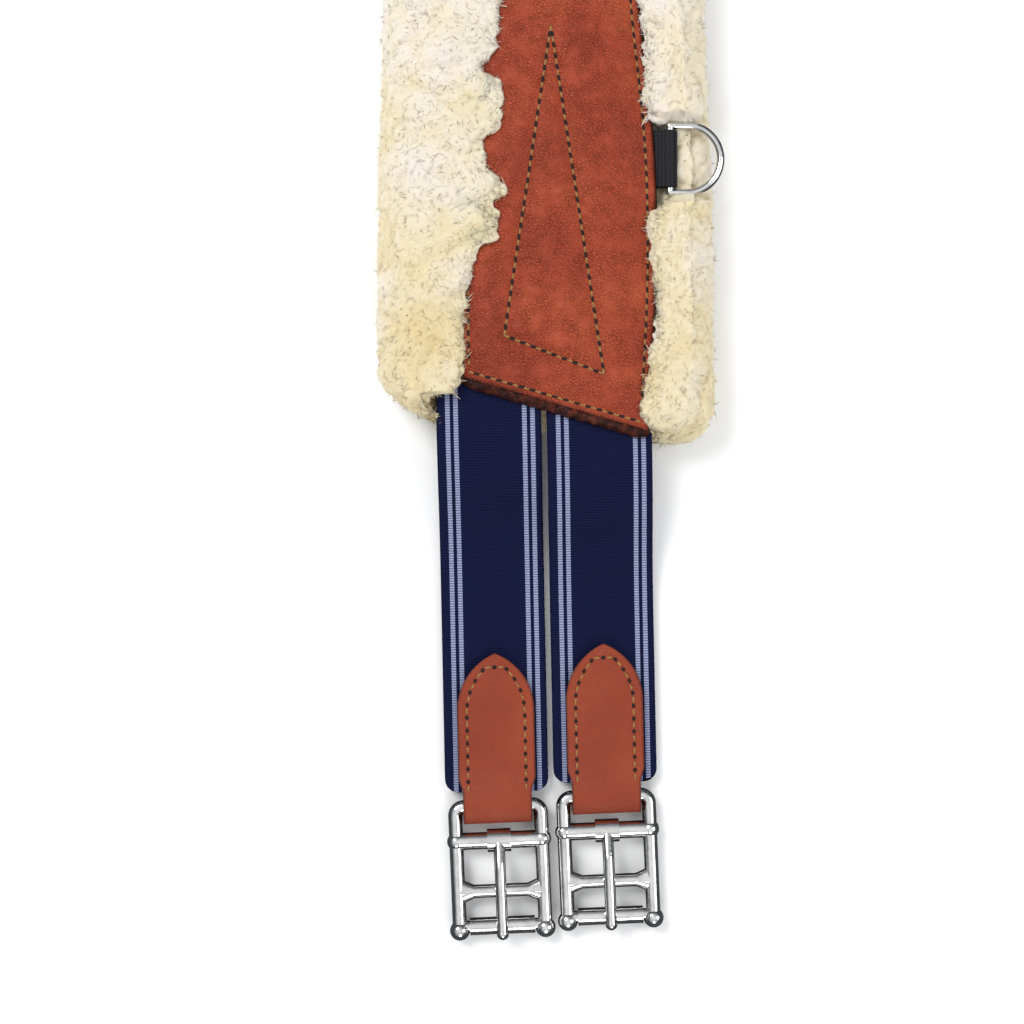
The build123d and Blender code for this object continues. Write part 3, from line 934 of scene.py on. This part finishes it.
def wool_locks(name, spots, normals, draws, length, radius, lean):
    """Locks on spots: each leans by a smooth flow, bends over, and tapers to its tip."""
    count = len(spots)
    flow = np.stack([fill_noise(spots, 11.0, s, 2) for s in (31, 37, 41)], axis=1) * 1.6
    flow += draws.normal(0, 0.45, (count, 3)) + lean
    flow -= normals * np.sum(flow * normals, axis=1, keepdims=True)
    flow = unit(flow)
    lengths = length * draws.uniform(0.6, 1.35, (count, 1, 1))
    radii = radius * draws.uniform(0.7, 1.3, (count, 1, 1))
    lengths *= (0.6 + 0.4 * np.abs(normals[:, 2]))[:, None, None]  # combed short at the outline
    side = np.cross(normals, flow)
    turn = draws.uniform(0, 2 * pi, (count, 1))
    local = LOCK_POINTS[None, :, :]
    px, py = turned(local[..., 0], local[..., 1], turn)
    h = local[..., 2] * np.ones((count, 1))
    curl = draws.uniform(-0.5, 0.5, (count, 1))
    rise = 0.58 * h - 0.32 * h**2
    run = 0.15 * h + 0.75 * h**2
    points = (
        spots[:, None, :]
        + normals[:, None, :] * (rise[..., None] * lengths - 0.5)
        + flow[:, None, :] * (run[..., None] * lengths + px[..., None] * radii)
        + side[:, None, :] * ((curl * h**2)[..., None] * lengths + py[..., None] * radii)
    )
    points[..., 2] = np.maximum(points[..., 2], 0.2)
    # each lock's own tone plus painted shade: darker at its root and paler at its tip
    tones_and_root_shade = np.clip(draws.normal(0.52, 0.09, (count, 1)) + 0.25 * (h - 0.5), 0, 1)
    return copies(name, points, LOCK_FACES, tones_and_root_shade)


# %% [markdown]
# The locks are set in patches, so that no mesh grows too heavy: the left border, the right
# border and the end, and the underside, where they are longer and fewer.

# %% Place the wool
TOP_LOCKS = 15500
UNDER_LOCKS = 9000
LIP = 3.5  # millimetres beside the wool's inner edge where its locks stand closer


def outside(points, normals):
    """1 on the skin that shows from above, 0 on the hidden fold under the leather."""
    x, y = points[:, 0], np.abs(points[:, 1])
    inner = (x > line_x(WOOL_LEFT, y) - 1.0) & (x < line_x(WOOL_RIGHT, y) + 1.0)
    hidden = (points[:, 2] > 12) & (points[:, 2] < 22) & (y < 355)
    between = (x > line_x(LEATHER_LEFT, y) - 3) & (x < line_x(LEATHER_RIGHT, y) + 3)
    under = normals[:, 2] < -0.75
    return np.where((hidden & between) | under | (hidden & inner & (y < 352)), 0.0, 1.0)


def near_lip(points):
    """4 beside the wool's inner edges and 1 elsewhere."""
    x, y = points[:, 0], np.abs(points[:, 1])
    gap = np.minimum(np.abs(x - line_x(WOOL_LEFT, y)), np.abs(x - line_x(WOOL_RIGHT, y)))
    return np.where(gap < LIP, 4.0, 1.0)


def left_border(points, normals):
    """The wool left of the leather."""
    return outside(points, normals) * near_lip(points) * (points[:, 0] < -5)


def right_border(points, normals):
    """The wool right of the leather, thin where the ring presses it down."""
    near_ring = (np.abs(np.abs(points[:, 1]) - RING_AT) < 14.5) & (points[:, 2] > 13)
    thick = np.where(near_ring, 0.35, near_lip(points))
    return outside(points, normals) * (points[:, 0] >= -5) * thick


def underside(points, normals):
    """The wool that lies against the horse."""
    return np.where(normals[:, 2] < -0.3, 1.0, 0.0)


LOCK_GROUPS = (  # name, count, where, and the locks' length, radius and lean
    ("left", TOP_LOCKS, left_border, 2.5, 0.24, (0.1, 0.0, 0.0)),
    ("right", TOP_LOCKS, right_border, 2.5, 0.24, (-0.1, 0.0, 0.0)),
    ("under", UNDER_LOCKS, underside, 4.0, 0.5, (0.0, 0.0, 0.0)),
)
for end, seed in (("near", 3), ("far", 11)):
    draws = np.random.default_rng(seed)
    body = sheepskin(end)
    for part, count, wanted, length, radius, lean in LOCK_GROUPS:
        spots, normals = skin_samples(body, count, draws, wanted)
        locks = wool_locks(
            f"{end}_wool_{part}", spots, normals, draws, length, radius, np.array(lean)
        )
        finish_piece(locks, end, wool_fibre)
        ride_body(locks)
    finish_piece(body, end, wool)
    ride_body(body)
    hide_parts(f"{end}_sheepskin_lining", "centre_sheepskin_lining")

# %% [markdown]
# ## Stitches
# A line of saddle stitching shows a golden barrel of thread, then a dark slanted hole, over and
# over. One barrel and one hole are modelled from spheres, then copied along each seam.

# %% One stitch and one hole
PANEL_PITCH = 4.2
CHAPE_PITCH = 4.6
HOLE_SLANT = radians(9)  # the awl is held a little turned to the seam


def small_form(length, width, height):
    """A low rounded grain, lying along X. Returns its points and faces, in millimetres."""
    deselect()
    bpy.ops.mesh.primitive_uv_sphere_add(segments=8, ring_count=5, radius=0.5)
    grain = bpy.context.object
    edit(
        lambda: bpy.ops.transform.rotate(value=pi / 2, orient_axis="Y", center_override=(0, 0, 0)),
        lambda: bpy.ops.transform.resize(value=(length, width, height), center_override=(0, 0, 0)),
    )
    return take_form(grain)


BARREL = small_form(2.4, 1.1, 0.9)
HOLE = small_form(2.6, 1.35, 0.7)
ROUND_HOLE = small_form(1.75, 1.6, 0.7)  # the chapes are pricked with a round awl


def walk(points, pitch):
    """Evenly spaced spots and directions along a chain of points."""
    points = np.array(points, dtype=float)
    steps = np.linalg.norm(np.diff(points, axis=0), axis=1)
    along = np.concatenate([[0], np.cumsum(steps)])
    count = 4 * int(round((along[-1] / pitch - 3) / 4)) + 3  # thread at both ends, a hole halfway
    places = (np.arange(count) + 0.5) / count * along[-1]
    spot, ahead, behind = (
        np.stack([np.interp(places + step, along, column) for column in points.T], axis=1)
        for step in (0.0, 0.4, -0.4)
    )
    return spot, unit(ahead - behind)


def sewn_line(name, chains, height, pitch, pierced=HOLE):
    """Barrels and holes along chains of (x, y) points, lying on height(x, y)."""
    both = []
    for kind, (form, faces), slant, sink in (
        (0, BARREL, 0.0, 0.08),
        (1, pierced, HOLE_SLANT, 0.02),
    ):
        groups = []
        for chain in chains:
            spots, ways = (values[kind::2] for values in walk(chain, pitch / 2))
            angle = (np.arctan2(ways[:, 1], ways[:, 0]) + slant)[:, None]
            x, y = turned(form[:, 0], form[:, 1], angle)
            z = height(spots[:, 0], spots[:, 1])[:, None] + form[:, 2] + sink
            groups.append(np.stack([spots[:, :1] + x, spots[:, 1:] + y, z], axis=2))
        points = np.concatenate(groups)
        piece = copies(f"{name}_{kind}", points, faces, uses=np.full(len(points), kind))
        piece.data.materials.append(thread)
        piece.data.materials.append(hole)
        both.append(piece)
    select_only(both[0])
    both[1].select_set(True)
    bpy.ops.object.join()
    both[0].name = both[0].data.name = name
    return both[0]


# %% Body stitches
def side_seam(points, inset):
    """The chain of a long side's seam, from the middle to the end."""
    y = np.arange(0, 366, 3.0)
    x = line_x(points, y, SOFTEN) + inset
    keep = y < leather_end(x) - END_SEAM_INSET
    return list(zip(x[keep], -y[keep]))


def body_height(x, y):
    """Height of the leather at a place in the row frame."""
    return leather_height(x, -y)


for end in ("near", "far"):
    left = side_seam(LEATHER_LEFT, SEAM_INSET)
    right = side_seam(LEATHER_RIGHT, -SEAM_INSET)
    cross = [(x, -(leather_end(x) - END_SEAM_INSET)) for x in np.linspace(-30.2, 33.1, 30)]
    edge_line = sewn_line(f"{end}_edge_stitches", [left, cross, right], body_height, PANEL_PITCH)
    finish_piece(edge_line, end)
    ride_body(edge_line)
    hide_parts(f"{end}_edge_stitching", "centre_edge_stitching")
    apex, rear, front = [(x, -y) for x, y in TRIANGLE]
    triangle = sewn_line(
        f"{end}_triangle_stitches", [[apex, rear], [rear, front], [front, apex]], body_height,
        PANEL_PITCH,
    )
    finish_piece(triangle, end)
    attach(triangle, f"{end}_body")
    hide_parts(f"{end}_triangle_stitching")

# %% [markdown]
# ## Elastic straps
# Each strap is sewn in under the leather, comes out over the sheepskin, drops to the floor in a
# long S and lies flat. It is made in two pieces that meet where nothing moves: the first bends
# where the strap lifts, the second stretches between there and the chape.

# %% Strap line
STRAPS = {"rear": (-22.8, 353.5, 145.9), "front": (18.0, 365.0, 130.8)}  # root x and y, length
STRAP_TURN = radians(1.2)  # how far the straps run askew
BUCKLE_TURN = radians(2.4)
STRAP_HALF = 19.3
ROOT_Z = 18.2
FLAT_Z = 3.9
DROP_RUN = 62.0  # length of the S
BAR_Z = 4.88  # the buckle's top bar
SPLICE = 30.0  # where the two pieces meet
SEWN_IN = 50.0


def strap_height(v):
    """Height of the strap's middle, v millimetres beyond its root."""
    f = np.clip(v / DROP_RUN, 0, 1)
    s = np.where(f < 0.5, 2 * f**2, 1 - 2 * (1 - f) ** 2)
    return ROOT_Z + (FLAT_Z - ROOT_Z) * s


def strap_point(side, across, along, z):
    """A point of a strap, from its own across and along distances."""
    x, y, _ = STRAPS[side]
    px, py = turned(across, -along, STRAP_TURN)
    return np.stack([x + px, -y + py, z], axis=1)


def buckle_point(side, across, along, z):
    """A point beside the buckle, from the top bar's middle, square to the buckle."""
    x, y, _ = strap_point(side, np.zeros(1), np.full(1, STRAPS[side][2]), np.zeros(1))[0]
    px, py = turned(across, -along, BUCKLE_TURN)
    return np.stack([x + px, y + py, z], axis=1)


# %% [markdown]
# Each piece is a tube with a flat rounded section, so that its selvedges are round and the two
# pieces meet without a groove.

# %% Strap pieces
STRAP_THICK = 2.1
SECTION_FLAT = 26  # points across each flat face
SECTION_ROUND = 5  # points round each selvedge
CRISP = 50  # degrees: edges sharper than this stay sharp


def strap_section():
    """The strap's section as points (across, up), once round."""
    flat = STRAP_HALF - STRAP_THICK / 2
    across = np.linspace(-flat, flat, SECTION_FLAT)
    turn = np.linspace(pi / 2, -pi / 2, SECTION_ROUND + 2)[1:-1]
    half = STRAP_THICK / 2
    top = np.stack([across, np.full(SECTION_FLAT, half)], axis=1)
    side = np.stack([flat + half * np.cos(turn), half * np.sin(turn)], axis=1)
    return np.concatenate([top, side, -top, -side])


SECTION = strap_section()


def strap_piece(name, end, side, from_v, to_v, corner=0.0):
    """A length of strap from one distance along it to another, with rounded corners at its end."""
    facts = {}

    def place(u, v):
        ring = SECTION[np.round(u * len(SECTION)).astype(int) % len(SECTION)]
        across, up = ring[:, 0], ring[:, 1]
        cut = np.clip(np.abs(across) - (STRAP_HALF - corner), 0, corner)
        last = to_v - corner + np.sqrt(corner**2 - cut**2)
        along = from_v + (last - from_v) * v
        lean = strap_height(along + 0.5) - strap_height(along - 0.5)
        facts["uv"] = np.stack([across, along], axis=1) * MM
        height = strap_height(along) + up / np.sqrt(1 + lean**2)
        return strap_point(side, across, along - up * lean, height)

    piece = grid_piece(name, len(SECTION), int((to_v - from_v) / 1.6), place)
    lay_uv(piece, "strap", facts["uv"])
    merge_seam()
    cap_ends(piece)
    return finish_piece(piece, end, elastic, crisp=CRISP)


for end in ("near", "far"):
    for side, (_, _, length) in STRAPS.items():
        root = strap_piece(f"{end}_{side}_elastic_root", end, side, -SEWN_IN, SPLICE)
        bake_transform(root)
        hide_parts(f"{end}_{side}_elastic_anchor")
        free = strap_piece(
            f"{end}_{side}_elastic_free", end, side, SPLICE, length - 5.2, corner=5.0
        )
        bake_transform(free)
        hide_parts(f"{end}_{side}_elastic")

# %% [markdown]
# ## Chapes
# A chape is a strip of leather with a pointed end, folded round the buckle's top bar and sewn to
# the strap, one leaf above and one below. The strip is laid out flat as a grid, given its
# pointed outline, then folded: `p` runs from the lower tip, round the bar, to the upper tip.

# %% Chape
CHAPE_LENGTH = 57.0
CHAPE_HALF = 14.25
CHAPE_NECK = 12.7  # half width between the buckle's sides
CHAPE_INSET = 3.5  # of its seam
ARCH = 21.0  # length of the pointed end
CROWN = 0.45
LEAF = 2.1  # thickness of one leaf
UPPER_LEAF_Z, LOWER_LEAF_Z = 6.55, 1.25
FOLD_RADIUS = 3.75
FOLD_LENGTH = pi * FOLD_RADIUS
FOLD_REACH = 5.4  # the fold stands out in front of the bar, so it is longer than it is high
CHAPE_SHIFT = 0.25  # the chape sits a little to one side of its buckle, and leans
CHAPE_LEAN = 0.02


def ease(f):
    """A smooth step from 0 to 1."""
    f = np.clip(f, 0, 1)
    return f * f * (3 - 2 * f)


def crown(across):
    """How much higher the leather stands than at its edge."""
    return CROWN * (1 - (across / CHAPE_HALF) ** 2)


def chape_point(side, across, along, z):
    """A point of the chape, which isn't quite square to its buckle."""
    return buckle_point(side, across + CHAPE_SHIFT - CHAPE_LEAN * along, along, z)


def chape_half_width(back):
    """Half the chape's width at a distance back from the top bar."""
    radius = (CHAPE_HALF**2 + ARCH**2) / (2 * CHAPE_HALF)
    into = np.clip(back - (CHAPE_LENGTH - ARCH), 0, ARCH - 0.05)
    arch = np.sqrt(radius**2 - into**2) - (radius - CHAPE_HALF)
    return np.minimum(arch, CHAPE_NECK + (CHAPE_HALF - CHAPE_NECK) * ease((back - 5.0) / 6.0))


def chape_top(back):
    """Height of the upper leaf's middle, back from the bar."""
    start = BAR_Z + FOLD_RADIUS
    return start + (UPPER_LEAF_Z - start) * ease(back / 15.0)


def chape_surface(across, back):
    """Height of the upper leaf's face: crowned across, with a groove where it is sewn."""
    inset = chape_half_width(back) - np.abs(across)
    groove = 0.3 * np.exp(-(((inset - CHAPE_INSET) / 1.1) ** 2)) * (back > 13)
    return chape_top(back) + crown(across) - groove + LEAF / 2


def chape_local(side, x, y):
    """Distances across the chape and back from the bar for a place on it."""
    start = buckle_point(side, np.zeros(1), np.zeros(1), np.zeros(1))[0]
    across, back = turned(x - start[0], y - start[1], -BUCKLE_TURN)
    return across - CHAPE_SHIFT - CHAPE_LEAN * back, np.clip(back, 0, CHAPE_LENGTH)


def chape_place(side):
    """Says where the points of one side's flat strip go when it is folded."""
    total = 2 * CHAPE_LENGTH + FOLD_LENGTH

    def place(u, v):
        p = v * total
        lower = p < CHAPE_LENGTH
        upper = p > CHAPE_LENGTH + FOLD_LENGTH
        angle = np.clip((p - CHAPE_LENGTH) / FOLD_RADIUS, 0, pi)
        back = np.where(lower, CHAPE_LENGTH - p, np.where(upper, p - CHAPE_LENGTH - FOLD_LENGTH, 0))
        across = (u - 0.5) * 2 * chape_half_width(back)
        along = np.where(lower | upper, -back, FOLD_REACH * np.sin(angle))
        fold_z = BAR_Z - FOLD_RADIUS * np.cos(angle)
        top = chape_surface(across, back) - LEAF / 2
        fold_z += crown(across) * (angle > 1.6)
        z = np.where(lower, LOWER_LEAF_Z, np.where(upper, top, fold_z))
        return chape_point(side, across, along, z)

    return place


def thicken(piece, thickness, bevel):
    """Gives a folded strip its thickness in millimetres and rounds its cut edges."""
    modify(piece, "SOLIDIFY", thickness=thickness * MM, offset=0.0)
    modify(
        piece, "BEVEL", width=bevel * MM, segments=2, limit_method="ANGLE",
        angle_limit=radians(CRISP),
    )
    face_outward()


def chape(end, side):
    """One chape, dark along its cut edges."""
    piece = grid_piece(f"{end}_{side}_chape_leather", 30, 150, chape_place(side))
    thicken(piece, LEAF, 0.55)
    x, y, _ = points_of(piece).T
    across, back = chape_local(side, x, y)
    gap = chape_half_width(back) - np.abs(across)
    paint(piece.data, "edge", np.clip(1.0 - gap / 0.9, 0, 1) * 0.8)
    return finish_piece(piece, end, tab_leather, crisp=CRISP)


def chape_seam(side):
    """The chain of the seam: up one side, round the point and down the other."""
    shoulder = CHAPE_LENGTH - ARCH
    straight, arch = np.arange(6.0, shoulder, 2.0), np.linspace(shoulder, CHAPE_LENGTH - 5.2, 16)
    back = np.concatenate([straight, arch])
    inset = CHAPE_INSET * np.where(back > shoulder, 1 + 0.25 * (back - shoulder) / 16, 1)
    half = np.clip(chape_half_width(np.maximum(back, 20.0)) - inset, 0.0, None)
    across = np.concatenate([-half, half[::-1]])
    along = -np.concatenate([back, back[::-1]])
    points = chape_point(side, across, along, 0 * across)
    return [tuple(p[:2]) for p in points]


for end in ("near", "far"):
    for side in STRAPS:
        leather = chape(end, side)
        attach(leather, f"{end}_{side}_end")
        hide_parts(f"{end}_{side}_chape")
        seam = sewn_line(
            f"{end}_{side}_chape_stitches", [chape_seam(side)],
            lambda x, y: chape_surface(*chape_local(side, x, y)), CHAPE_PITCH, ROUND_HOLE,
        )
        finish_piece(seam, end)
        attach(seam, f"{end}_{side}_end")
        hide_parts(f"{end}_{side}_chape_stitching")

# %% [markdown]
# ## Ring loops
# The ring hangs in a short piece of black nylon webbing, folded round the ring's straight bar and
# sewn in between the leather and the pad.

# %% Ring loop
LOOP_HALF = 10.5
LOOP_RADIUS = 2.15
LOOP_TURN = pi * LOOP_RADIUS
BAR_X, RING_Z = 43.8, 19.2  # the ring's straight bar
LOOP_TAIL = BAR_X - 22.0  # how far each end of the webbing reaches under the leather


def loop_place(u, v):
    """Webbing from under the leather, round the bar and back: v along it, u across it."""
    p = v * (2 * LOOP_TAIL + LOOP_TURN)
    angle = np.clip((p - LOOP_TAIL) / LOOP_RADIUS, 0, pi)
    lower, upper = p < LOOP_TAIL, p > LOOP_TAIL + LOOP_TURN
    back = np.where(lower, LOOP_TAIL - p, np.where(upper, p - LOOP_TAIL - LOOP_TURN, 0))
    x = BAR_X - back + np.where(lower | upper, 0, LOOP_RADIUS * np.sin(angle))
    spread = np.clip(back / 5.0, 0, 1)
    low, high = RING_Z - LOOP_RADIUS + 0.55 * spread, RING_Z + LOOP_RADIUS - 2.2 * spread
    z = np.where(lower, low, np.where(upper, high, RING_Z - LOOP_RADIUS * np.cos(angle)))
    return np.stack([x, -RING_AT + (u - 0.5) * 2 * LOOP_HALF, z], axis=1)


for end in ("near", "far"):
    loop = grid_piece(f"{end}_ring_webbing", 24, 70, loop_place)
    thicken(loop, 1.15, 0.35)
    finish_piece(loop, end, webbing, crisp=CRISP)
    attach(loop, f"{end}_body")
    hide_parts(f"{end}_ring_loop")

# %% [markdown]
# ## Stage
# A white floor and large soft lights, as in a product studio. Polished steel looks like steel
# only when it has dark things to reflect, so mirrored rays see a dark room with a bright
# ceiling and a dark table, while all other rays see an even pale room.

# %% Stage
NEAR_END = (0, -0.35, 0)  # what the lights point at, in metres
bpy.ops.mesh.primitive_plane_add(size=14, location=(0, 0, 0))
floor = bpy.context.object
floor.name = "floor"
floor_material, tree, shader, _ = new_material("white_paper_sweep", Roughness=0.9)
shades = {"A": linear("#F7F7F7"), "B": linear("#34373A")}
mirrored = add_node(tree, "LightPath", out="Is Glossy Ray")
paper = add_node(tree, "Mix", {"Factor": mirrored, **shades}, "Result", data_type="RGBA")
set_inputs(tree, shader, {"Base Color": paper})
floor.data.materials.append(floor_material)


def soft_light(name, location, size, energy):
    """A square soft box that points at the near end."""
    bpy.ops.object.light_add(type="AREA", location=location)
    lamp = bpy.context.object
    lamp.name = name
    lamp.data.size = size
    lamp.data.energy = energy
    way = Vector(NEAR_END) - Vector(location)
    lamp.rotation_euler = way.to_track_quat("-Z", "Y").to_euler()


soft_light("key_softbox", (-0.9, 0.5, 1.5), 0.9, 24)
soft_light("fill_softbox", (1.3, -0.4, 1.2), 1.0, 9)
soft_light("front_softbox", (0.1, -1.8, 1.1), 0.7, 8)

world = bpy.data.worlds.new("studio")
scene.world = world
world.use_nodes = True
tree = world.node_tree
direction = add_node(tree, "TexCoord", out="Generated")
height = add_node(tree, "SeparateXYZ", {"Vector": direction}, "Z")
ripple = add_node(tree, "TexNoise", {"Vector": direction, "Scale": 3.2, "Detail": 1.0})
lifted = add_node(tree, "Math", {0: ripple, 1: 0.4, 2: height}, operation="MULTIPLY_ADD")
upward = add_node(tree, "Math", {0: lifted, 1: 0.8}, operation="MULTIPLY")
greys = ((0.08, "#15171A"), (0.4, "#4A4E54"), (0.72, "#A9ADB2"), (0.98, "#FFFFFF"))
sky = add_node(tree, "ValToRGB", {"Fac": upward}, stops=greys)
mirrored = add_node(tree, "LightPath", out="Is Glossy Ray")
room = {"A": linear("#B9BBBD"), "B": sky}
studio = add_node(tree, "Mix", {"Factor": mirrored, **room}, "Result", data_type="RGBA")
set_inputs(tree, tree.nodes["Background"], {"Color": studio, "Strength": 1.15})
